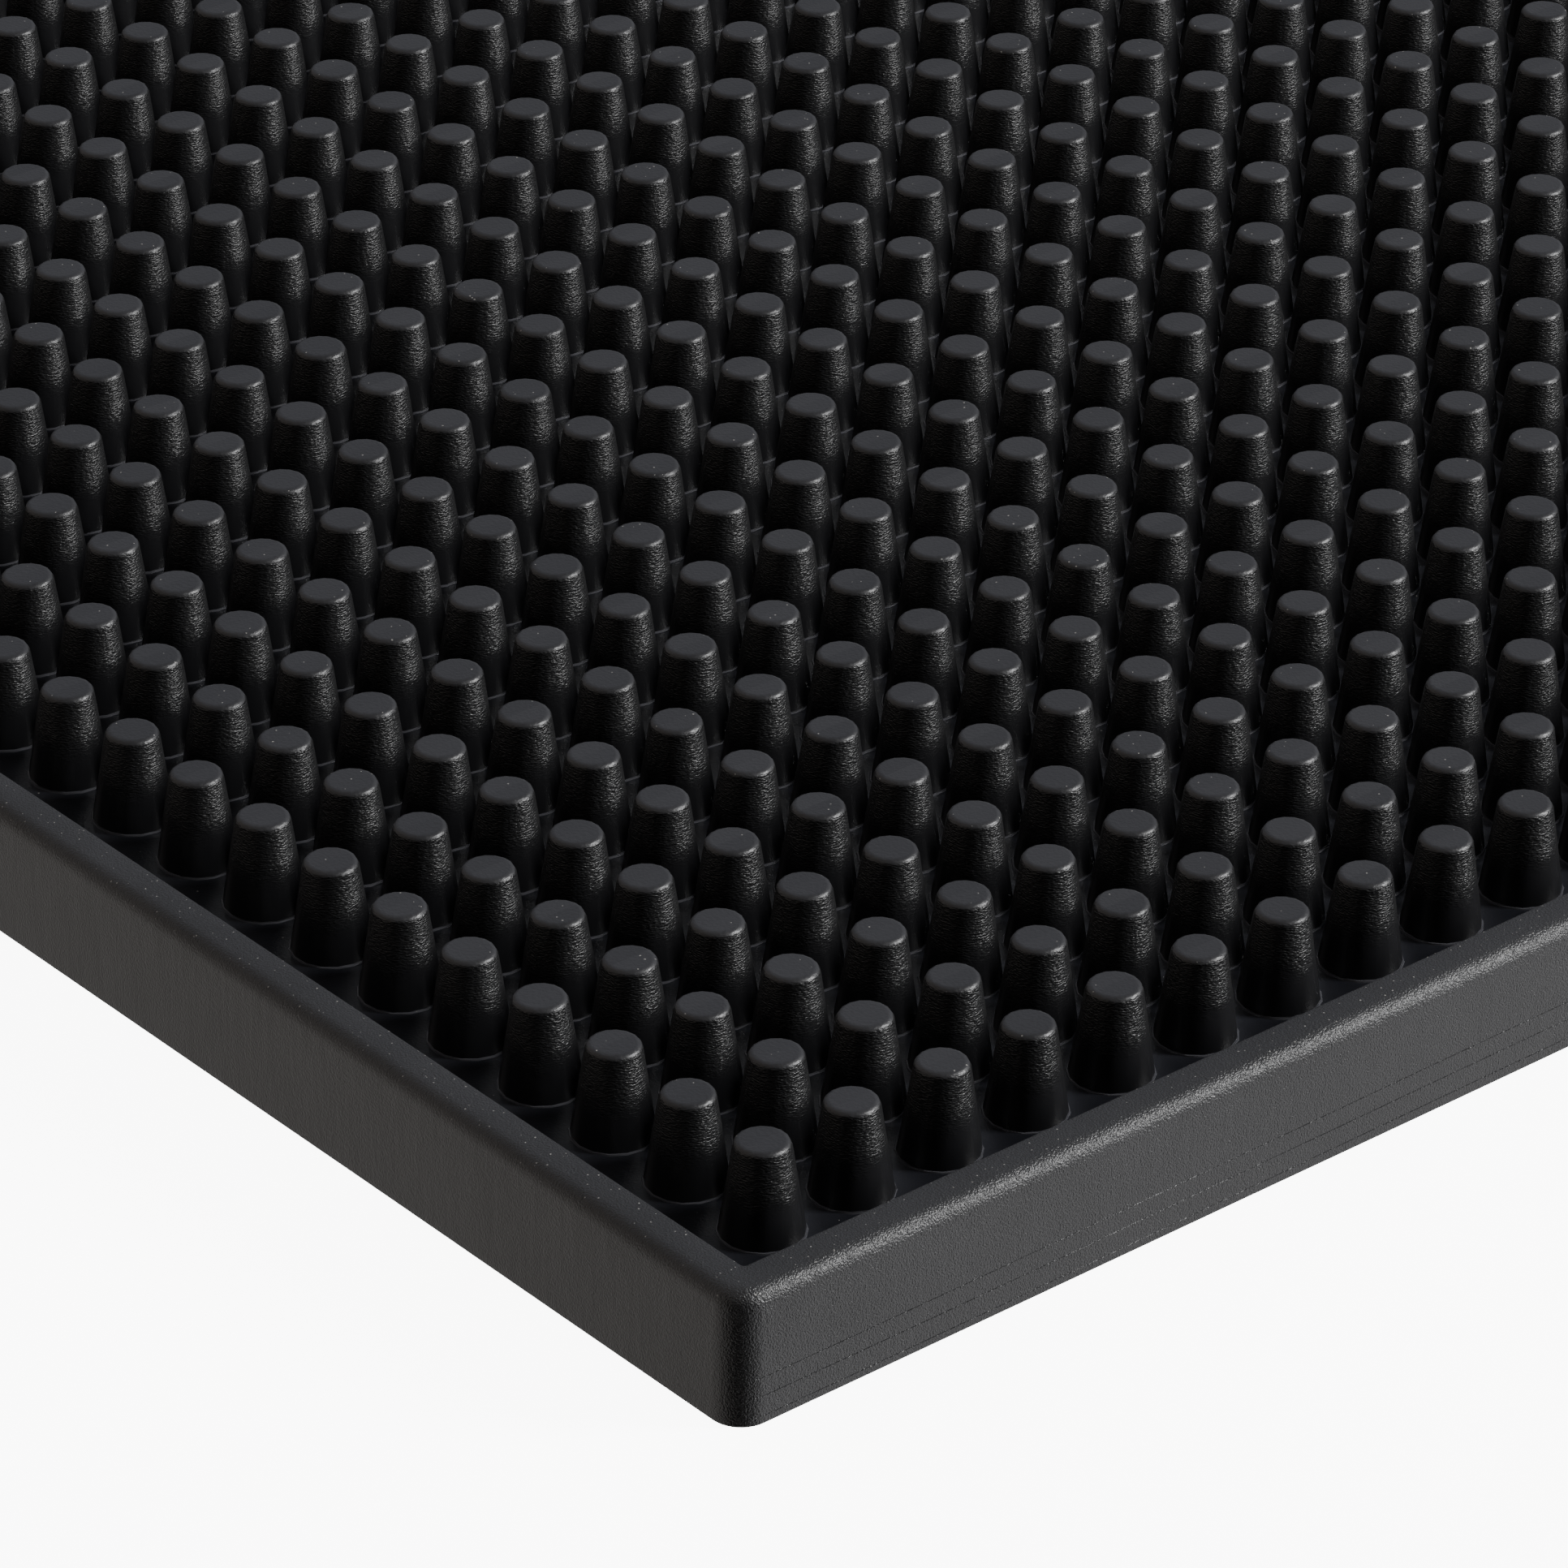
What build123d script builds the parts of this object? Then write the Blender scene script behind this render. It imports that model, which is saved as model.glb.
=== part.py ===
from build123d import *
import math
import os

# Rimmed rubber peg mat, in millimetres.
# The origin is the centre of the underside. X runs along the length, Y from front to back, Z up.
# The mat is divided along upright planes: four rim walls mitred at the corners, four strips of
# bare floor inside them, and one piece for each row of pegs with the floor that the row stands on.

# Overall size
mat_length = 451.0
mat_width = 299.0

# Rim: an upright wall round the edge
rim_height = 10.6
rim_width = 3.4
corner_radius = 2.5  # upright outside corners
rim_top_radius = 1.3  # outer top edge
rim_foot_radius = 0.2  # outer bottom edge

# Floor
floor_thickness = 4.1
least_gutter = 6.0  # narrowest bare floor between the rim and the foot of the nearest pegs

# Pegs: blunt cones on a square grid
peg_pitch = 8.0
peg_height = 7.3  # above the floor
peg_base_diameter = 6.1
peg_top_diameter = 4.1
peg_edge_radius = 0.5  # round the flat top

# The space inside the rim, and how many pegs fit in it each way
inner_length = mat_length - 2 * rim_width
inner_width = mat_width - 2 * rim_width


def pegs_that_fit(inner_size):
    """How many pegs stand in a line across the inside of the rim."""
    free = inner_size - 2 * least_gutter - peg_base_diameter
    return math.floor(free / peg_pitch) + 1


pegs_per_row = pegs_that_fit(inner_length)
row_count = pegs_that_fit(inner_width)
field_length = pegs_per_row * peg_pitch
field_width = row_count * peg_pitch


def rim_frame():
    """The whole rim in one piece, before it is cut at the mitres."""
    outline = extrude(RectangleRounded(mat_length, mat_width, corner_radius), rim_height)
    inside = Pos(0, 0, rim_height / 2) * Box(inner_length, inner_width, rim_height)
    frame = outline - inside
    top_edges = frame.faces().sort_by(Axis.Z)[-1].outer_wire().edges()
    frame = fillet(top_edges, min(rim_top_radius, 0.9 * min(rim_width, corner_radius)))
    foot_edges = frame.faces().sort_by(Axis.Z)[0].outer_wire().edges()
    return fillet(foot_edges, rim_foot_radius)


def rim_walls(frame):
    """The rim's four walls, each from mitre to mitre, by name."""
    outer_x = mat_length / 2
    outer_y = mat_width / 2
    inner_x = inner_length / 2
    inner_y = inner_width / 2
    front = [(-outer_x, -outer_y), (outer_x, -outer_y), (inner_x, -inner_y), (-inner_x, -inner_y)]
    right = [(outer_x, -outer_y), (outer_x, outer_y), (inner_x, inner_y), (inner_x, -inner_y)]
    outlines = {
        "rim_front": front,
        "rim_back": [(-x, -y) for x, y in front],
        "rim_left": [(-x, -y) for x, y in right],
        "rim_right": right,
    }
    walls = {}
    for name, corners in outlines.items():
        wedge = extrude(make_face(Polyline(*corners, close=True)), rim_height)
        walls[name] = frame & wedge
    return walls


def floor_slab(length, width, x, y):
    """A rectangle of bare floor centred on x, y."""
    return Pos(x, y, floor_thickness / 2) * Box(length, width, floor_thickness)


def gutters():
    """The bare floor between the rim and the field of pegs, by name."""
    end_width = (inner_length - field_length) / 2
    side_width = (inner_width - field_width) / 2
    end_x = (inner_length - end_width) / 2
    side_y = (inner_width - side_width) / 2
    return {
        "gutter_front": floor_slab(inner_length, side_width, 0, -side_y),
        "gutter_back": floor_slab(inner_length, side_width, 0, side_y),
        "gutter_left": floor_slab(end_width, field_width, -end_x, 0),
        "gutter_right": floor_slab(end_width, field_width, end_x, 0),
    }


def peg():
    """One peg standing on the origin: a blunt cone with a rounded edge round its flat top."""
    base_radius = peg_base_diameter / 2
    top_radius = peg_top_diameter / 2
    outline = make_face(
        Polyline((0, 0), (base_radius, 0), (top_radius, peg_height), (0, peg_height), close=True)
    )
    edge_corner = outline.vertices().sort_by(Axis.Y)[-2:].sort_by(Axis.X)[-1]
    outline = fillet(edge_corner, peg_edge_radius)
    return revolve(Plane.XZ * outline, Axis.Z, 360)


def peg_row():
    """A row of pegs along X with its strip of floor, centred on Y = 0."""
    strip = floor_slab(field_length, peg_pitch, 0, 0)
    one_peg = peg()
    first_x = -(pegs_per_row - 1) * peg_pitch / 2
    pegs = [Pos(first_x + i * peg_pitch, 0, floor_thickness) * one_peg for i in range(pegs_per_row)]
    return strip + pegs


def peg_rows():
    """Every row from front to back, by name."""
    row = peg_row()
    first_y = -(row_count - 1) * peg_pitch / 2
    return {f"peg_row_{i + 1:02d}": Pos(0, first_y + i * peg_pitch, 0) * row for i in range(row_count)}


def main():
    os.makedirs("parts", exist_ok=True)
    pieces = {**rim_walls(rim_frame()), **gutters(), **peg_rows()}
    for name, piece in pieces.items():
        export_step(piece, f"parts/{name}.step")


main()
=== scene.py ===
import math

import bmesh
import bpy
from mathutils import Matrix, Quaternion, Vector, noise


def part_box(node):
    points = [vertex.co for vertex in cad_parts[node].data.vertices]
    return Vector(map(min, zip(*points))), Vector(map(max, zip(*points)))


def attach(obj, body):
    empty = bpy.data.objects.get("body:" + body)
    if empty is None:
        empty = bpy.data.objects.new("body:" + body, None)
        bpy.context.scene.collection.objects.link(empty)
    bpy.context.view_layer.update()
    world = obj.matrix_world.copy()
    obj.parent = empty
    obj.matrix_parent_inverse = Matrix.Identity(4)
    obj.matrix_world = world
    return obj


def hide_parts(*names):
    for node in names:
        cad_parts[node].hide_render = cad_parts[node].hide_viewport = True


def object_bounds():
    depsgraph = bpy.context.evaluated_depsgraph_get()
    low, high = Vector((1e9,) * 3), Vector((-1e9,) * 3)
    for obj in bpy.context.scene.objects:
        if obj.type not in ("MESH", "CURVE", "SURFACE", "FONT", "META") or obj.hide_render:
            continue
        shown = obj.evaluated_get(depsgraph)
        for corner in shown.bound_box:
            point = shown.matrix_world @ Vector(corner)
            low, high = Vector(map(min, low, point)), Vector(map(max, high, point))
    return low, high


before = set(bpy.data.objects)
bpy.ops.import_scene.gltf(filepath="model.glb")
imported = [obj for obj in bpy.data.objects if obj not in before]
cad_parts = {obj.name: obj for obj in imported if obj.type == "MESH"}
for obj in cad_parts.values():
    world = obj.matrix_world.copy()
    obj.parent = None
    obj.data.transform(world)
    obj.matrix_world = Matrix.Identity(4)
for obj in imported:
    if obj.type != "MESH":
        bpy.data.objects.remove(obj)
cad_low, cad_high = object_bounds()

bl_info = {
    "name": "Rimmed peg mat",
    "version": (1, 0, 0),
    "blender": (4, 5, 0),
    "location": "3D View > Sidebar > Peg Mat",
    "description": "Builds a moulded rubber mat with a rim and a grid of pegs round its CAD frame",
    "category": "Add Mesh",
}

MM = 0.001

# What the CAD frame says, in metres
ROW_NODES = sorted(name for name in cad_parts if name.startswith("peg_row_"))
RIM_NODES = ["rim_front", "rim_back", "rim_left", "rim_right"]
GUTTER_NODES = ["gutter_front", "gutter_back", "gutter_left", "gutter_right"]
ROW_LOW, ROW_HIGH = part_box(ROW_NODES[0])
FRONT_LOW, FRONT_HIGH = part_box("rim_front")
PITCH = ROW_HIGH[1] - ROW_LOW[1]
PEGS_PER_ROW = round((ROW_HIGH[0] - ROW_LOW[0]) / PITCH)
FIRST_PEG_X = ROW_LOW[0] + PITCH / 2
FIRST_PEG_Y = ROW_LOW[1] + PITCH / 2
FLOOR_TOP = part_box("gutter_front")[1][2]
PEG_HEIGHT = ROW_HIGH[2] - FLOOR_TOP
RIM_WIDTH = FRONT_HIGH[1] - FRONT_LOW[1]
RIM_HEIGHT = FRONT_HIGH[2] - FRONT_LOW[2]
HALF_LENGTH = (cad_high[0] - cad_low[0]) / 2
HALF_WIDTH = (cad_high[1] - cad_low[1]) / 2

# Finishes, painted shade and a painted highlight, as sRGB
RIM_BLACK = 0x2A2A2B
PEG_BLACK = 0x2A2A2C
# Peg sides, upper and lower: painted shade, far darker than the peg tops
PEG_SIDE_PAINTED_SHADE = 0x161617
PEG_FOOT_PAINTED_SHADE = 0x18181A
# Floor between the pegs: painted shade, darker than the rim's rubber
FLOOR_PAINTED_SHADE_BLACK = 0x1B1C21
DUST_GREY = 0x8C8A86
# Foot ring: a painted highlight
RING_PAINTED_HIGHLIGHT = 0x55555A
FLOOR_WHITE = 0xF4F4F4


def linear(colour):
    """An sRGB hex colour as linear red, green, blue and alpha."""
    channels = [(colour >> shift & 255) / 255 for shift in (16, 8, 0)]
    return (*[c / 12.92 if c <= 0.04045 else ((c + 0.055) / 1.055) ** 2.4 for c in channels], 1.0)


# ---------------------------------------------------------------- settings


class RimSettings(bpy.types.PropertyGroup):
    corner_radius: bpy.props.FloatProperty(
        name="Corner radius", description="Radius of the rim's upright outside corners",
        default=2.5 * MM, unit="LENGTH", subtype="DISTANCE")
    top_radius: bpy.props.FloatProperty(
        name="Top edge radius", description="Rounding of the rim's outer top edge",
        default=1.3 * MM, unit="LENGTH", subtype="DISTANCE")
    foot_radius: bpy.props.FloatProperty(
        name="Foot radius", description="Easing of the rim's outer bottom edge",
        default=0.2 * MM, unit="LENGTH", subtype="DISTANCE")
    inner_radius: bpy.props.FloatProperty(
        name="Inner edge radius", description="Rounding of the rim's inner top edge and inner corners",
        default=0.35 * MM, unit="LENGTH", subtype="DISTANCE")
    line_depth: bpy.props.FloatProperty(
        name="Trim line depth", description="Depth of the fine lines low on the front wall",
        default=0.11 * MM, unit="LENGTH", subtype="DISTANCE")
    waviness: bpy.props.FloatProperty(
        name="Waviness", description="How far the moulded wall strays from straight",
        default=0.05 * MM, unit="LENGTH", subtype="DISTANCE")
    colour: bpy.props.FloatVectorProperty(
        name="Colour", description="Rubber of the rim", size=4, subtype="COLOR",
        min=0, max=1, default=linear(RIM_BLACK))


class FloorSettings(bpy.types.PropertyGroup):
    unevenness: bpy.props.FloatProperty(
        name="Unevenness", description="How far the floor's top strays from flat",
        default=0.04 * MM, unit="LENGTH", subtype="DISTANCE")
    # The default colour is painted shade, darker than the rim's rubber
    colour: bpy.props.FloatVectorProperty(
        name="Colour", description="Rubber of the floor between the pegs", size=4, subtype="COLOR",
        min=0, max=1, default=linear(FLOOR_PAINTED_SHADE_BLACK))


class PegSettings(bpy.types.PropertyGroup):
    base_diameter: bpy.props.FloatProperty(
        name="Base diameter", description="Diameter of a peg where it meets the floor",
        default=6.1 * MM, unit="LENGTH", subtype="DISTANCE")
    top_diameter: bpy.props.FloatProperty(
        name="Top diameter", description="Diameter of a peg at its rounded top edge",
        default=4.1 * MM, unit="LENGTH", subtype="DISTANCE")
    edge_radius: bpy.props.FloatProperty(
        name="Edge radius", description="Rounding round the flat top",
        default=0.5 * MM, unit="LENGTH", subtype="DISTANCE")
    ring_width: bpy.props.FloatProperty(
        name="Ring width", description="Width of the low ring that the mould leaves round a peg's foot",
        default=0.16 * MM, unit="LENGTH", subtype="DISTANCE")
    ring_height: bpy.props.FloatProperty(
        name="Ring height", description="Height of that ring above the floor",
        default=0.1 * MM, unit="LENGTH", subtype="DISTANCE")
    sides: bpy.props.IntProperty(
        name="Sides", description="Faces round a peg", default=16, min=8)
    size_spread: bpy.props.FloatProperty(
        name="Size spread", description="How much one peg's thickness differs from another's",
        default=0.012, subtype="FACTOR")
    lean: bpy.props.FloatProperty(
        name="Lean", description="The most that a peg leans off upright",
        default=math.radians(0.7), unit="ROTATION", subtype="ANGLE")
    seed: bpy.props.IntProperty(name="Seed", description="Picks each peg's lean and thickness", default=7)
    colour: bpy.props.FloatVectorProperty(
        name="Colour", description="Rubber of the pegs", size=4, subtype="COLOR",
        min=0, max=1, default=linear(PEG_BLACK))


class StageSettings(bpy.types.PropertyGroup):
    azimuth: bpy.props.FloatProperty(
        name="Azimuth", description="Camera's bearing, with 0 looking along +Y",
        default=math.radians(-40.4), unit="ROTATION", subtype="ANGLE")
    elevation: bpy.props.FloatProperty(
        name="Elevation", description="Camera's height above the horizon",
        default=math.radians(30.15), unit="ROTATION", subtype="ANGLE")
    roll: bpy.props.FloatProperty(
        name="Roll", description="Camera's roll about its own axis",
        default=math.radians(0.64), unit="ROTATION", subtype="ANGLE")
    lens: bpy.props.FloatProperty(
        name="Lens", description="Focal length on a 36 mm sensor, in millimetres", default=197.8)
    distance_in_pitches: bpy.props.FloatProperty(
        name="Distance", description="Camera's distance from its aim, in peg pitches", default=79.89)
    key_power: bpy.props.FloatProperty(
        name="Key light", description="Power of the soft box over the front wall", default=30.0, unit="POWER")
    floor_colour: bpy.props.FloatVectorProperty(
        name="Floor colour", description="Paper under the mat", size=4, subtype="COLOR",
        min=0, max=1, default=linear(FLOOR_WHITE))


# ---------------------------------------------------------------- node helper


def add_node(tree, kind, inputs=None, **settings):
    """Adds a node, applies its settings, and sets or links its inputs by number or by name in use."""
    node = tree.nodes.new(kind)
    for name, value in settings.items():
        setattr(node, name, value)
    for key, value in (inputs or {}).items():
        in_use = node.inputs if isinstance(key, int) else {s.name: s for s in node.inputs if s.enabled}
        if isinstance(value, bpy.types.Node):
            value = next(socket for socket in value.outputs if socket.enabled)
        if isinstance(value, bpy.types.NodeSocket):
            tree.links.new(value, in_use[key])
        else:
            in_use[key].default_value = value
    return node


def new_material(name):
    """An empty material's node tree, its Principled shader and the piece's own coordinates."""
    material = bpy.data.materials.new(name)
    material.use_nodes = True
    tree = material.node_tree
    tree.nodes.clear()
    shader = add_node(tree, "ShaderNodeBsdfPrincipled")
    add_node(tree, "ShaderNodeOutputMaterial", {"Surface": shader})
    place = add_node(tree, "ShaderNodeTexCoord").outputs["Object"]
    return material, tree, shader, place


# ---------------------------------------------------------------- materials


RUBBER_IOR = 1.52
RIM_GRAIN = 0.14 * MM
WIPE_WIDTH = 0.4 * MM
WIPE_LENGTH = 6 * MM
TURNED_LENGTH = 0.3 * MM
TURNED_HEIGHT = 0.1 * MM
FLOOR_GRAIN = 0.2 * MM
FLOOR_CLOUD = 5 * MM


def mottled(tree, place, colour, patch, gain):
    """The rubber's colour in cloudy patches of this size, the palest this much paler."""
    cloud = add_node(
        tree, "ShaderNodeTexNoise", {"Vector": place, "Scale": 1 / patch, "Detail": 3.0, "Roughness": 0.6})
    share = add_node(tree, "ShaderNodeMapRange", {"Value": cloud, "From Min": 0.35, "From Max": 0.68})
    paler = tuple(gain * channel for channel in colour[:3]) + (1.0,)
    return add_node(
        tree, "ShaderNodeMix", {"Factor": share, "A": tuple(colour), "B": paler}, data_type="RGBA")


def facing_up(tree):
    """1 on surfaces that face up and 0 on upright ones."""
    normal = add_node(tree, "ShaderNodeNewGeometry").outputs["Normal"]
    up = add_node(tree, "ShaderNodeSeparateXYZ", {0: normal}).outputs["Z"]
    return add_node(
        tree, "ShaderNodeMapRange", {"Value": up, "From Min": 0.25, "From Max": 0.7},
        interpolation_type="SMOOTHSTEP")


def dusted(tree, place, rubber, spacing, radius, share):
    """The rubber with dust on what faces up: a speck at most to each spacing, in this share of places."""
    cells = add_node(tree, "ShaderNodeTexVoronoi", {"Vector": place, "Scale": 1 / spacing})
    pick = add_node(tree, "ShaderNodeSeparateColor", {0: cells.outputs["Color"]})
    # The second random number gives each speck its own size
    reach = add_node(
        tree, "ShaderNodeMapRange",
        {"Value": pick.outputs["Green"], "To Min": 0.5 * radius / spacing, "To Max": radius / spacing})
    inside = add_node(
        tree, "ShaderNodeMath", {0: cells.outputs["Distance"], 1: reach}, operation="LESS_THAN")
    picked = add_node(tree, "ShaderNodeMath", {0: pick.outputs["Red"], 1: share}, operation="LESS_THAN")
    speck = add_node(tree, "ShaderNodeMath", {0: inside, 1: picked}, operation="MULTIPLY")
    shown = add_node(tree, "ShaderNodeMath", {0: speck, 1: facing_up(tree)}, operation="MULTIPLY")
    return add_node(
        tree, "ShaderNodeMix", {"Factor": shown, "A": rubber, "B": linear(DUST_GREY)}, data_type="RGBA")


def rim_rubber(colour):
    """Carbon-black rubber, compression moulded in a blasted steel mould: satin, with a fine even grain."""
    material, tree, shader, place = new_material("compression_moulded_rubber")
    rubber = mottled(tree, place, colour, 12 * MM, 1.35)
    rubber = dusted(tree, place, rubber, 0.45 * MM, 0.07 * MM, 0.5)
    tree.links.new(rubber.outputs[2], shader.inputs["Base Color"])
    # Grain of about 0.1 mm, drawn a little coarser so that it shows
    grain = add_node(
        tree, "ShaderNodeTexNoise", {"Vector": place, "Scale": 1 / RIM_GRAIN, "Detail": 1.0})
    # Long narrow wiping marks run up the walls
    upright = add_node(
        tree, "ShaderNodeMapping",
        {"Vector": place, "Scale": (1 / WIPE_WIDTH, 1 / WIPE_WIDTH, 1 / WIPE_LENGTH)})
    wipes = add_node(tree, "ShaderNodeTexNoise", {"Vector": upright, "Scale": 1.0, "Detail": 2.0})
    rough = add_node(
        tree, "ShaderNodeMapRange",
        {"Value": wipes, "From Min": 0.3, "From Max": 0.7, "To Min": 0.38, "To Max": 0.44})
    tree.links.new(rough.outputs[0], shader.inputs["Roughness"])
    shader.inputs["IOR"].default_value = RUBBER_IOR
    fine = add_node(tree, "ShaderNodeBump", {"Height": grain, "Strength": 1.0, "Distance": 0.09 * MM})
    coarse = add_node(
        tree, "ShaderNodeBump",
        {"Height": wipes, "Strength": 1.0, "Distance": 0.012 * MM, "Normal": fine})
    tree.links.new(coarse.outputs[0], shader.inputs["Normal"])
    return material


def peg_rubber(colour):
    """The same rubber on the pegs: drilled mould cavities leave fine turned rings on the upper side. The
    sides carry painted shade, far darker than the flat top, and the foot ring a painted highlight.
    """
    material, tree, shader, place = new_material("moulded_rubber_pegs_painted_shade_and_highlight")
    height = add_node(tree, "ShaderNodeSeparateXYZ", {0: place}).outputs["Z"]
    # Turned marks run round the peg, longer than they are high
    level = add_node(
        tree, "ShaderNodeMapping",
        {"Vector": place, "Scale": (1 / TURNED_LENGTH, 1 / TURNED_LENGTH, 1 / TURNED_HEIGHT)})
    turned = add_node(tree, "ShaderNodeTexNoise", {"Vector": level, "Scale": 1.0, "Detail": 1.5})
    # They fade out raggedly below the middle of the peg, where the mould is polished
    ragged = add_node(
        tree, "ShaderNodeTexNoise", {"Vector": place, "Scale": 1 / (1.0 * MM), "Detail": 3.0})
    lifted = add_node(
        tree, "ShaderNodeMath", {0: ragged, 1: 2.0 * MM, 2: height}, operation="MULTIPLY_ADD")
    turned_from = FLOOR_TOP + 0.42 * PEG_HEIGHT
    turned_to = FLOOR_TOP + 0.8 * PEG_HEIGHT
    upper = add_node(
        tree, "ShaderNodeMapRange", {"Value": lifted, "From Min": turned_from, "From Max": turned_to},
        interpolation_type="SMOOTHSTEP")
    # Each peg has its own shade
    cell = add_node(
        tree, "ShaderNodeVectorMath", {0: place, 1: (PITCH, PITCH, 1.0)}, operation="SNAP")
    shade = add_node(tree, "ShaderNodeTexWhiteNoise", {"Vector": cell}).outputs["Value"]
    paler = tuple(1.3 * channel for channel in colour[:3]) + (1.0,)
    own = add_node(
        tree, "ShaderNodeMix", {"Factor": shade, "A": tuple(colour), "B": paler}, data_type="RGBA")
    # Painted shade: the upright sides are coloured far darker than the top, the lower side a touch paler than
    # the upper
    side = add_node(
        tree, "ShaderNodeMix", {"Factor": upper, "A": linear(PEG_FOOT_PAINTED_SHADE), "B": linear(PEG_SIDE_PAINTED_SHADE)},
        data_type="RGBA")
    # Tops keep the rubber's own colour; upright faces take the painted shade
    rubber = add_node(
        tree, "ShaderNodeMix", {"Factor": facing_up(tree), "A": side, "B": own}, data_type="RGBA")
    # The ring round the foot is painted pale, a painted highlight
    ring = add_node(
        tree, "ShaderNodeMath", {0: height, 1: FLOOR_TOP + 0.12 * MM}, operation="LESS_THAN")
    rubber = add_node(
        tree, "ShaderNodeMix", {"Factor": ring, "A": rubber, "B": linear(RING_PAINTED_HIGHLIGHT)}, data_type="RGBA")
    rubber = dusted(tree, place, rubber, 0.6 * MM, 0.08 * MM, 0.25)
    tree.links.new(rubber.outputs[2], shader.inputs["Base Color"])
    rough = add_node(tree, "ShaderNodeMapRange", {"Value": upper, "To Min": 0.34, "To Max": 0.42})
    tree.links.new(rough.outputs[0], shader.inputs["Roughness"])
    shader.inputs["IOR"].default_value = RUBBER_IOR
    # The flat top has a finer, shallower grain than the side
    depth = add_node(
        tree, "ShaderNodeMapRange", {"Value": facing_up(tree), "To Min": 1.0, "To Max": 0.3})
    shown = add_node(tree, "ShaderNodeMath", {0: upper, 1: depth}, operation="MULTIPLY")
    relief = add_node(tree, "ShaderNodeMath", {0: turned, 1: shown}, operation="MULTIPLY")
    marks = add_node(tree, "ShaderNodeBump", {"Height": relief, "Strength": 1.0, "Distance": 0.1 * MM})
    tree.links.new(marks.outputs[0], shader.inputs["Normal"])
    return material


def floor_rubber(colour):
    """The same rubber against a polished mould plate: smooth, its colour darker than the rim's as painted
    shade between the pegs, and faintly blue.
    """
    material, tree, shader, place = new_material("moulded_rubber_floor_painted_shade")
    rubber = mottled(tree, place, colour, FLOOR_CLOUD, 1.4)
    rubber = dusted(tree, place, rubber, 0.7 * MM, 0.08 * MM, 0.25)
    tree.links.new(rubber.outputs[2], shader.inputs["Base Color"])
    cloud = add_node(
        tree, "ShaderNodeTexNoise", {"Vector": place, "Scale": 1 / FLOOR_CLOUD, "Detail": 3.0})
    rough = add_node(
        tree, "ShaderNodeMapRange",
        {"Value": cloud, "From Min": 0.3, "From Max": 0.7, "To Min": 0.32, "To Max": 0.42})
    tree.links.new(rough.outputs[0], shader.inputs["Roughness"])
    shader.inputs["IOR"].default_value = RUBBER_IOR
    grain = add_node(
        tree, "ShaderNodeTexNoise", {"Vector": place, "Scale": 1 / FLOOR_GRAIN, "Detail": 1.0})
    bump = add_node(tree, "ShaderNodeBump", {"Height": grain, "Strength": 1.0, "Distance": 0.015 * MM})
    tree.links.new(bump.outputs[0], shader.inputs["Normal"])
    return material


# ---------------------------------------------------------------- mesh helpers


def arc(centre_x, centre_z, radius, start, end, steps):
    """Points on an arc from angle start to angle end in degrees, both ends included."""
    angles = [math.radians(start + (end - start) * i / steps) for i in range(steps + 1)]
    return [(centre_x + radius * math.cos(a), centre_z + radius * math.sin(a)) for a in angles]


SHARP_ANGLE = math.radians(35)


def finish_piece(name, mesh_source, material, nodes):
    """Makes a closed, outward-facing object of a bmesh, and ties it to the frame."""
    bmesh.ops.recalc_face_normals(mesh_source, faces=mesh_source.faces)
    mesh = bpy.data.meshes.new(name)
    mesh_source.to_mesh(mesh)
    mesh_source.free()
    mesh.shade_smooth()
    mesh.set_sharp_from_angle(angle=SHARP_ANGLE)
    mesh.materials.append(material)
    piece = bpy.data.objects.new(name, mesh)
    bpy.context.scene.collection.objects.link(piece)
    tie_to_frame(piece, nodes)
    return piece


def tie_to_frame(piece, nodes):
    """Rides on the mat's one body, and stands for the CAD nodes that it shows."""
    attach(piece, "root")
    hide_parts(*nodes)


# ---------------------------------------------------------------- rim


LINE_HEIGHTS = (0.8 * MM, 2.4 * MM, 3.9 * MM)
LINE_HALF_WIDTH = 0.04 * MM
LINE_WANDER = 0.25 * MM  # how far a line strays up and down
FILLET = 0.4 * MM  # where the wall meets the floor
TOE_DEPTH = 0.05 * MM  # the fillet's toe goes this far into the floor


def rim_profile(settings):
    """The wall's section as (depth from the outer face, height, share of the trim lines' depth)."""
    foot, top, inner = settings.foot_radius, settings.top_radius, settings.inner_radius
    section = [(*p, 0) for p in arc(foot, foot, foot, 270, 180, 3)]
    for line in LINE_HEIGHTS:
        section.append((0, line - LINE_HALF_WIDTH, 0))
        section.append((0, line, 1))
        section.append((0, line + LINE_HALF_WIDTH, 0))
    section.append((0, (LINE_HEIGHTS[-1] + RIM_HEIGHT - top) / 2, 0))
    section += [(*p, 0) for p in arc(top, RIM_HEIGHT - top, top, 180, 90, 7)]
    section += [(*p, 0) for p in arc(RIM_WIDTH - inner, RIM_HEIGHT - inner, inner, 90, 0, 3)]
    section += [(*p, 0) for p in arc(RIM_WIDTH + FILLET, FLOOR_TOP + FILLET, FILLET, 180, 270, 3)]
    section.append((RIM_WIDTH + FILLET, FLOOR_TOP - TOE_DEPTH, 0))
    section.append((RIM_WIDTH, FLOOR_TOP - TOE_DEPTH, 0))
    section.append((RIM_WIDTH, 0, 0))
    return section


CORNERS = ((1, 1), (-1, 1), (-1, -1), (1, -1))
CORNER_STEPS = 10
RUN_STEP = 4 * MM


def corner_point(settings, corner, angle, depth):
    """Where the outline at this depth is, at an angle round one of the mat's corners."""
    radius = max(settings.corner_radius - depth, settings.inner_radius)
    centre_x = CORNERS[corner][0] * (HALF_LENGTH - depth - radius)
    centre_y = CORNERS[corner][1] * (HALF_WIDTH - depth - radius)
    return Vector((centre_x + radius * math.cos(angle), centre_y + radius * math.sin(angle), 0))


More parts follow.
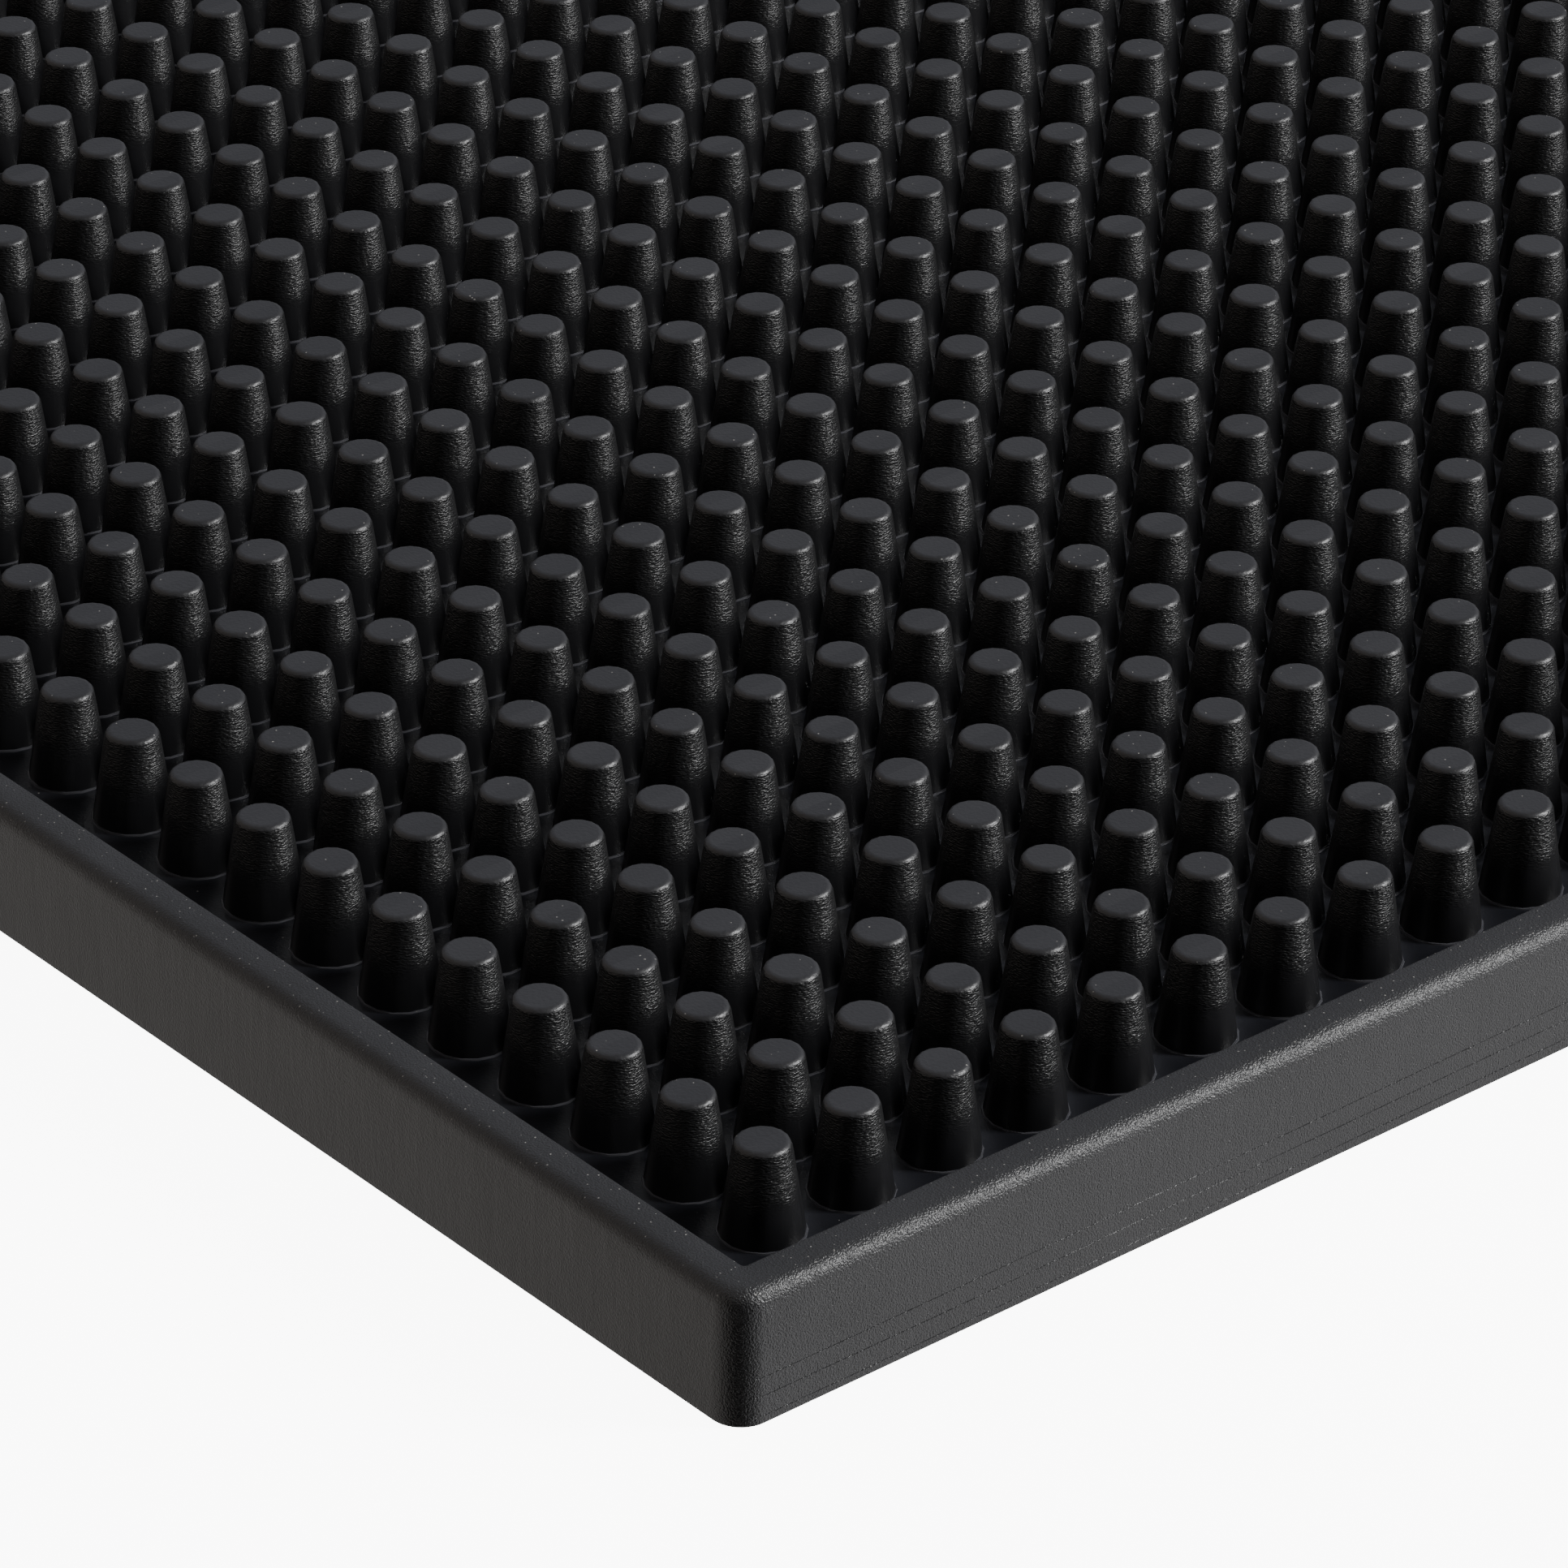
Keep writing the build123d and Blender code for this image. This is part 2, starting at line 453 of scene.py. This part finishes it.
def outline_stations():
    """Every station round the rim as (corner, angle, share of the way to the next corner)."""
    stations = []
    for corner in range(len(CORNERS)):
        start = corner * math.pi / 2
        for i in range(CORNER_STEPS + 1):
            stations.append((corner, start + math.pi / 2 * i / CORNER_STEPS, 0.0))
        run = 2 * (HALF_LENGTH if corner % 2 == 0 else HALF_WIDTH)
        steps = round(run / RUN_STEP)
        for i in range(1, steps):
            stations.append((corner, start + math.pi / 2, i / steps))
    return stations


def station_point(settings, station, depth):
    """A station's place on the outline at this depth."""
    corner, angle, share = station
    here = corner_point(settings, corner, angle, depth)
    if share == 0.0:
        return here
    following = corner_point(settings, (corner + 1) % len(CORNERS), angle, depth)
    return here.lerp(following, share)


def line_share(place):
    """How strongly the trim lines show here: only on the front wall, and in places less."""
    if place.y > -HALF_WIDTH + 0.1 * MM:
        return 0.0
    return max(0.0, min(1.0, 0.85 + 0.6 * noise.noise(place / (25 * MM))))


def make_rim(settings):
    """The rim as one closed band: the section carried round the outline."""
    source = bmesh.new()
    section = rim_profile(settings)
    rings = []
    for station in outline_stations():
        on_face = station_point(settings, station, 0.0)
        sway = settings.waviness * noise.noise(on_face / (30 * MM))
        wander = LINE_WANDER * noise.noise(on_face / (45 * MM))
        ring = []
        for depth, height, share in section:
            cut = share * settings.line_depth * line_share(on_face)
            place = station_point(settings, station, depth + cut + (sway if depth < RIM_WIDTH else 0.0))
            on_line = depth == 0 and LINE_HEIGHTS[0] - MM / 2 < height < LINE_HEIGHTS[-1] + MM / 2
            ring.append(source.verts.new((place.x, place.y, height + (wander if on_line else 0.0))))
        rings.append(ring)
    for ring, following in zip(rings, rings[1:] + rings[:1]):
        for i, corner in enumerate(ring):
            j = (i + 1) % len(ring)
            source.faces.new((corner, following[i], following[j], ring[j]))
    return finish_piece("rim", source, rim_rubber(settings.colour), RIM_NODES)


class PEGMAT_OT_add_rim(bpy.types.Operator):
    """Add the mat's rim"""

    bl_idname = "peg_mat.add_rim"
    bl_label = "Add Rim"

    def execute(self, context):
        make_rim(context.scene.peg_mat_rim)
        return {"FINISHED"}


# ---------------------------------------------------------------- floor


FLOOR_STEP = 6 * MM


def make_floor(settings):
    """The floor sheet inside the rim: a slab whose top is very slightly uneven."""
    source = bmesh.new()
    half_x = HALF_LENGTH - RIM_WIDTH
    half_y = HALF_WIDTH - RIM_WIDTH
    count_x = round(2 * half_x / FLOOR_STEP)
    count_y = round(2 * half_y / FLOOR_STEP)
    bmesh.ops.create_grid(source, x_segments=count_x, y_segments=count_y, size=1.0)
    for vertex in source.verts:
        vertex.co = Vector((vertex.co.x * half_x, vertex.co.y * half_y, FLOOR_TOP))
    top = list(source.faces)
    lower = bmesh.ops.extrude_face_region(source, geom=top)
    for element in lower["geom"]:
        if isinstance(element, bmesh.types.BMVert):
            element.co.z = 0.0
    for vertex in source.verts:
        inside = abs(vertex.co.x) < half_x - MM and abs(vertex.co.y) < half_y - MM
        if vertex.co.z > 0 and inside:
            vertex.co.z += settings.unevenness * noise.noise(vertex.co / (20 * MM))
    return finish_piece(
        "floor_sheet", source, floor_rubber(settings.colour), GUTTER_NODES)


class PEGMAT_OT_add_floor(bpy.types.Operator):
    """Add the floor sheet inside the rim"""

    bl_idname = "peg_mat.add_floor"
    bl_label = "Add Floor"

    def execute(self, context):
        make_floor(context.scene.peg_mat_floor)
        return {"FINISHED"}


# ---------------------------------------------------------------- pegs


PEG_EDGE_STEPS = 2
RING_BEVEL = 0.06 * MM
RING_SLOPE = 0.3  # radians that the ring's outer face tips up


def peg_bands(settings):
    """Half of a peg's section from the floor up: bands of (radius, height, slope of the normal)."""
    base, top, edge = settings.base_diameter / 2, settings.top_diameter / 2, settings.edge_radius
    ring_outside = base + settings.ring_width
    ring_inside = ring_outside - RING_BEVEL
    taper = math.atan2(base - top, PEG_HEIGHT)
    bands = [
        [(ring_outside, -TOE_DEPTH, RING_SLOPE), (ring_inside, settings.ring_height, RING_SLOPE)],
        [(ring_inside, settings.ring_height, math.pi / 2), (base, settings.ring_height, math.pi / 2)],
    ]
    slopes = [taper + (math.pi / 2 - taper) * i / PEG_EDGE_STEPS for i in range(PEG_EDGE_STEPS + 1)]
    rounded = [
        (top - edge + edge * math.cos(slope), PEG_HEIGHT - edge + edge * math.sin(slope), slope)
        for slope in slopes
    ]
    side = [(base, settings.ring_height, taper), rounded[0]]
    return bands + [side] + [list(pair) for pair in zip(rounded, rounded[1:])]


def make_template_peg(settings):
    """One peg standing on the origin, which the rows repeat, shaded as the true round shape."""
    angles = [2 * math.pi * i / settings.sides for i in range(settings.sides)]
    points, faces, normals = [], [], []

    def add_ring(radius, height):
        points.extend((radius * math.cos(a), radius * math.sin(a), height) for a in angles)
        return len(points) - settings.sides

    bands = peg_bands(settings)
    bottom = add_ring(*bands[0][0][:2])
    lower = bottom
    for (_, _, low_slope), (radius, height, high_slope) in bands:
        upper = add_ring(radius, height)
        for i in range(settings.sides):
            j = (i + 1) % settings.sides
            faces.append((lower + i, lower + j, upper + j, upper + i))
            for corner, slope in ((i, low_slope), (j, low_slope), (j, high_slope), (i, high_slope)):
                flat = math.cos(slope)
                normals.append(
                    (flat * math.cos(angles[corner]), flat * math.sin(angles[corner]), math.sin(slope)))
        lower = upper
    faces.append(tuple(range(lower, lower + settings.sides)))
    normals += [(0.0, 0.0, 1.0)] * settings.sides
    faces.append(tuple(reversed(range(bottom, bottom + settings.sides))))
    normals += [(0.0, 0.0, -1.0)] * settings.sides
    mesh = bpy.data.meshes.new("template_peg")
    mesh.from_pydata(points, [], faces)
    mesh.shade_smooth()
    mesh.normals_split_custom_set(normals)
    template = bpy.data.objects.new("template_peg", mesh)
    bpy.context.scene.collection.objects.link(template)
    return template


def peg_row_tree():
    """Geometry nodes that stand pegs along a line, each with its own lean and thickness."""
    tree = bpy.data.node_groups.new("peg_row", "GeometryNodeTree")
    sockets = {
        "Peg": "NodeSocketObject", "Count": "NodeSocketInt", "Pitch": "NodeSocketFloat",
        "First peg": "NodeSocketVector", "Size spread": "NodeSocketFloat", "Lean": "NodeSocketFloat",
        "Seed": "NodeSocketInt", "Rubber": "NodeSocketMaterial",
    }
    for name, kind in sockets.items():
        tree.interface.new_socket(name, in_out="INPUT", socket_type=kind)
    tree.interface.new_socket("Geometry", in_out="OUTPUT", socket_type="NodeSocketGeometry")
    given = add_node(tree, "NodeGroupInput").outputs
    offset = add_node(tree, "ShaderNodeCombineXYZ", {0: given["Pitch"]}).outputs[0]
    line = add_node(
        tree, "GeometryNodeMeshLine",
        {"Count": given["Count"], "Start Location": given["First peg"], "Offset": offset})
    peg = add_node(tree, "GeometryNodeObjectInfo", {"Object": given["Peg"], "As Instance": True})
    less_lean = add_node(tree, "ShaderNodeMath", {0: given["Lean"], 1: -1.0}, operation="MULTIPLY").outputs[0]
    low_turn = add_node(tree, "ShaderNodeCombineXYZ", {0: less_lean, 1: less_lean}).outputs[0]
    high_turn = add_node(
        tree, "ShaderNodeCombineXYZ", {0: given["Lean"], 1: given["Lean"], 2: math.tau}).outputs[0]
    turn = add_node(
        tree, "FunctionNodeRandomValue", {0: low_turn, 1: high_turn, "Seed": given["Seed"]},
        data_type="FLOAT_VECTOR").outputs[0]
    thinnest = add_node(
        tree, "ShaderNodeMath", {0: 1.0, 1: given["Size spread"]}, operation="SUBTRACT").outputs[0]
    thickest = add_node(
        tree, "ShaderNodeMath", {0: 1.0, 1: given["Size spread"]}, operation="ADD").outputs[0]
    thickness = add_node(
        tree, "FunctionNodeRandomValue", {2: thinnest, 3: thickest, "Seed": given["Seed"]},
        data_type="FLOAT").outputs[1]
    scale = add_node(tree, "ShaderNodeCombineXYZ", {0: thickness, 1: thickness, 2: 1.0}).outputs[0]
    stood = add_node(
        tree, "GeometryNodeInstanceOnPoints",
        {"Points": line.outputs[0], "Instance": peg.outputs["Geometry"], "Rotation": turn, "Scale": scale})
    real = add_node(tree, "GeometryNodeRealizeInstances", {0: stood.outputs[0]})
    coated = add_node(
        tree, "GeometryNodeSetMaterial", {"Geometry": real.outputs[0], "Material": given["Rubber"]})
    add_node(tree, "NodeGroupOutput", {0: coated.outputs[0]})
    return tree


def make_peg_rows(settings):
    """Every row of pegs, each a plain mesh that stands for its CAD node."""
    template = make_template_peg(settings)
    tree = peg_row_tree()
    rubber = peg_rubber(settings.colour)
    keys = {item.name: item.identifier for item in tree.interface.items_tree if item.in_out == "INPUT"}
    for number, node in enumerate(ROW_NODES):
        row = bpy.data.objects.new(f"pegs_{number + 1:02d}", bpy.data.meshes.new(node))
        bpy.context.scene.collection.objects.link(row)
        modifier = row.modifiers.new("pegs", "NODES")
        modifier.node_group = tree
        values = {
            "Peg": template, "Count": PEGS_PER_ROW, "Pitch": PITCH,
            "First peg": (FIRST_PEG_X, FIRST_PEG_Y + number * PITCH, FLOOR_TOP),
            "Size spread": settings.size_spread, "Lean": settings.lean,
            "Seed": settings.seed + number, "Rubber": rubber,
        }
        for name, value in values.items():
            modifier[keys[name]] = value
        graph = bpy.context.evaluated_depsgraph_get()
        made = bpy.data.meshes.new_from_object(row.evaluated_get(graph), depsgraph=graph)
        row.modifiers.remove(modifier)
        row.data = made
        tie_to_frame(row, [node])
    bpy.data.objects.remove(template)


class PEGMAT_OT_add_pegs(bpy.types.Operator):
    """Add every row of pegs"""

    bl_idname = "peg_mat.add_pegs"
    bl_label = "Add Pegs"

    def execute(self, context):
        make_peg_rows(context.scene.peg_mat_pegs)
        return {"FINISHED"}


# ---------------------------------------------------------------- stage


STAGE_RADIUS = 12.0
AIM = Vector((5.01, 5.66, 0.0))  # from the near corner peg's foot, in peg pitches


def look_along(azimuth, elevation):
    """The direction from the aim back to the camera."""
    flat = math.cos(elevation)
    return Vector((math.sin(azimuth) * flat, -math.cos(azimuth) * flat, math.sin(elevation)))


def make_camera(settings):
    """A long lens over the mat's near left corner."""
    data = bpy.data.cameras.new("camera")
    data.lens = settings.lens
    data.sensor_width = 36
    data.clip_start = 0.01
    data.clip_end = 100
    camera = bpy.data.objects.new("camera", data)
    bpy.context.scene.collection.objects.link(camera)
    back = look_along(settings.azimuth, settings.elevation)
    aim = Vector((FIRST_PEG_X, FIRST_PEG_Y, FLOOR_TOP)) + AIM * PITCH
    camera.location = aim + back * settings.distance_in_pitches * PITCH
    camera.rotation_mode = "QUATERNION"
    camera.rotation_quaternion = (-back).to_track_quat("-Z", "Y") @ Quaternion((0, 0, 1), settings.roll)
    bpy.context.scene.camera = camera


KEY_DIRECTION = Vector((0.68, -0.55, 0.48))
KEY_DISTANCE = 1.4
KEY_WIDTH = 0.3
KEY_HEIGHT = 0.5


def make_soft_box(name, direction, distance, width, height, power):
    """A rectangular soft light that faces the mat's near corner."""
    data = bpy.data.lights.new(name, "AREA")
    data.shape = "RECTANGLE"
    data.size = width
    data.size_y = height
    data.energy = power
    light = bpy.data.objects.new(name, data)
    bpy.context.scene.collection.objects.link(light)
    corner = Vector((-HALF_LENGTH, -HALF_WIDTH, 0))
    light.location = corner + direction.normalized() * distance
    light.rotation_euler = direction.to_track_quat("Z", "Y").to_euler()


# What the rubber mirrors: direction of each soft area, cosine where it starts, cosine where it is
# full, and its light as linear red, green and blue
GLOWS = (
    ((0.0, 0.0, -1.0), 0.0, 0.25, (0.57, 0.55, 0.53)),  # the pale table all round
    ((0.60, -0.66, -0.40), 0.45, 0.95, (0.48, 0.49, 0.52)),  # brighter table before the front wall
    ((0.53, 0.63, 0.50), 0.50, 0.97, (0.27, 0.28, 0.32)),  # wall panel behind the mat
    ((-0.70, 0.50, 0.40), 0.40, 0.90, (0.42, 0.38, 0.35)),  # warm wall on the left
)
DARK_CARD = ((-0.56, -0.66, -0.50), 0.62, 0.79)  # black card before the near corner
DIM_STUDIO = (0.03, 0.03, 0.032)
PAPER_LIGHT = 9.0


def soft_area(tree, direction, axis, start, full):
    """1 well inside a round area of the studio and 0 outside it."""
    toward = add_node(
        tree, "ShaderNodeVectorMath", {0: direction, 1: Vector(axis).normalized()}, operation="DOT_PRODUCT")
    return add_node(
        tree, "ShaderNodeMapRange", {"Value": toward, "From Min": start, "From Max": full},
        interpolation_type="SMOOTHSTEP")


def make_studio():
    """The dim studio with its soft areas. The camera itself sees plain pale paper instead."""
    world = bpy.data.worlds.new("studio")
    bpy.context.scene.world = world
    world.use_nodes = True
    tree = world.node_tree
    tree.nodes.clear()
    direction = add_node(tree, "ShaderNodeTexCoord").outputs["Generated"]
    total = DIM_STUDIO
    for axis, start, full, light in GLOWS:
        share = soft_area(tree, direction, axis, start, full)
        glow = add_node(tree, "ShaderNodeVectorMath", {0: light, "Scale": share}, operation="SCALE")
        total = add_node(tree, "ShaderNodeVectorMath", {0: total, 1: glow}, operation="ADD")
    carded = soft_area(tree, direction, *DARK_CARD)
    open_share = add_node(tree, "ShaderNodeMath", {0: 1.0, 1: carded}, operation="SUBTRACT")
    shown = add_node(tree, "ShaderNodeVectorMath", {0: total, "Scale": open_share}, operation="SCALE")
    glows = add_node(tree, "ShaderNodeBackground", {"Color": shown})
    paper = add_node(tree, "ShaderNodeBackground", {"Strength": PAPER_LIGHT})
    straight = add_node(tree, "ShaderNodeLightPath").outputs["Is Camera Ray"]
    mixed = add_node(tree, "ShaderNodeMixShader", {0: straight, 1: glows, 2: paper})
    add_node(tree, "ShaderNodeOutputWorld", {"Surface": mixed})


def make_paper(settings):
    """A wide sheet of pale paper under the mat, lit from within like a light table."""
    source = bmesh.new()
    bmesh.ops.create_circle(source, cap_ends=True, segments=96, radius=STAGE_RADIUS)
    mesh = bpy.data.meshes.new("paper")
    source.to_mesh(mesh)
    source.free()
    material, _, shader, _ = new_material("matt_white_paper")
    shader.inputs["Base Color"].default_value = settings.floor_colour
    shader.inputs["Roughness"].default_value = 0.9
    shader.inputs["Emission Color"].default_value = (1.0, 1.0, 1.0, 1.0)
    shader.inputs["Emission Strength"].default_value = PAPER_LIGHT
    mesh.materials.append(material)
    paper = bpy.data.objects.new("paper", mesh)
    paper.visible_glossy = False
    paper.visible_diffuse = False
    bpy.context.scene.collection.objects.link(paper)


class PEGMAT_OT_add_stage(bpy.types.Operator):
    """Add the camera, the soft studio light and the paper under the mat"""

    bl_idname = "peg_mat.add_stage"
    bl_label = "Add Stage"

    def execute(self, context):
        settings = context.scene.peg_mat_stage
        make_camera(settings)
        make_soft_box(
            "key_soft_box", KEY_DIRECTION, KEY_DISTANCE, KEY_WIDTH, KEY_HEIGHT, settings.key_power)
        make_studio()
        make_paper(settings)
        return {"FINISHED"}


# ---------------------------------------------------------------- add-on


class PEGMAT_PT_sidebar(bpy.types.Panel):
    """Lists what the add-on builds"""

    bl_idname = "PEGMAT_PT_sidebar"
    bl_label = "Peg Mat"
    bl_space_type = "VIEW_3D"
    bl_region_type = "UI"
    bl_category = "Peg Mat"

    def draw(self, context):
        scene = context.scene
        for operator, settings in (
            (PEGMAT_OT_add_rim, scene.peg_mat_rim),
            (PEGMAT_OT_add_floor, scene.peg_mat_floor),
            (PEGMAT_OT_add_pegs, scene.peg_mat_pegs),
            (PEGMAT_OT_add_stage, scene.peg_mat_stage),
        ):
            box = self.layout.box()
            for name in settings.__annotations__:
                box.prop(settings, name)
            box.operator(operator.bl_idname)


GROUPS = {
    "peg_mat_rim": RimSettings,
    "peg_mat_floor": FloorSettings,
    "peg_mat_pegs": PegSettings,
    "peg_mat_stage": StageSettings,
}
CLASSES = (
    *GROUPS.values(), PEGMAT_OT_add_rim, PEGMAT_OT_add_floor, PEGMAT_OT_add_pegs,
    PEGMAT_OT_add_stage, PEGMAT_PT_sidebar,
)


def register():
    for cls in CLASSES:
        bpy.utils.register_class(cls)
    for name, group in GROUPS.items():
        setattr(bpy.types.Scene, name, bpy.props.PointerProperty(type=group))


def unregister():
    for name in GROUPS:
        delattr(bpy.types.Scene, name)
    for cls in reversed(CLASSES):
        bpy.utils.unregister_class(cls)


def main():
    """Builds the whole mat."""
    register()
    bpy.ops.peg_mat.add_rim()
    bpy.ops.peg_mat.add_floor()
    bpy.ops.peg_mat.add_pegs()
    bpy.ops.peg_mat.add_stage()


if __name__ == "__main__":
    main()
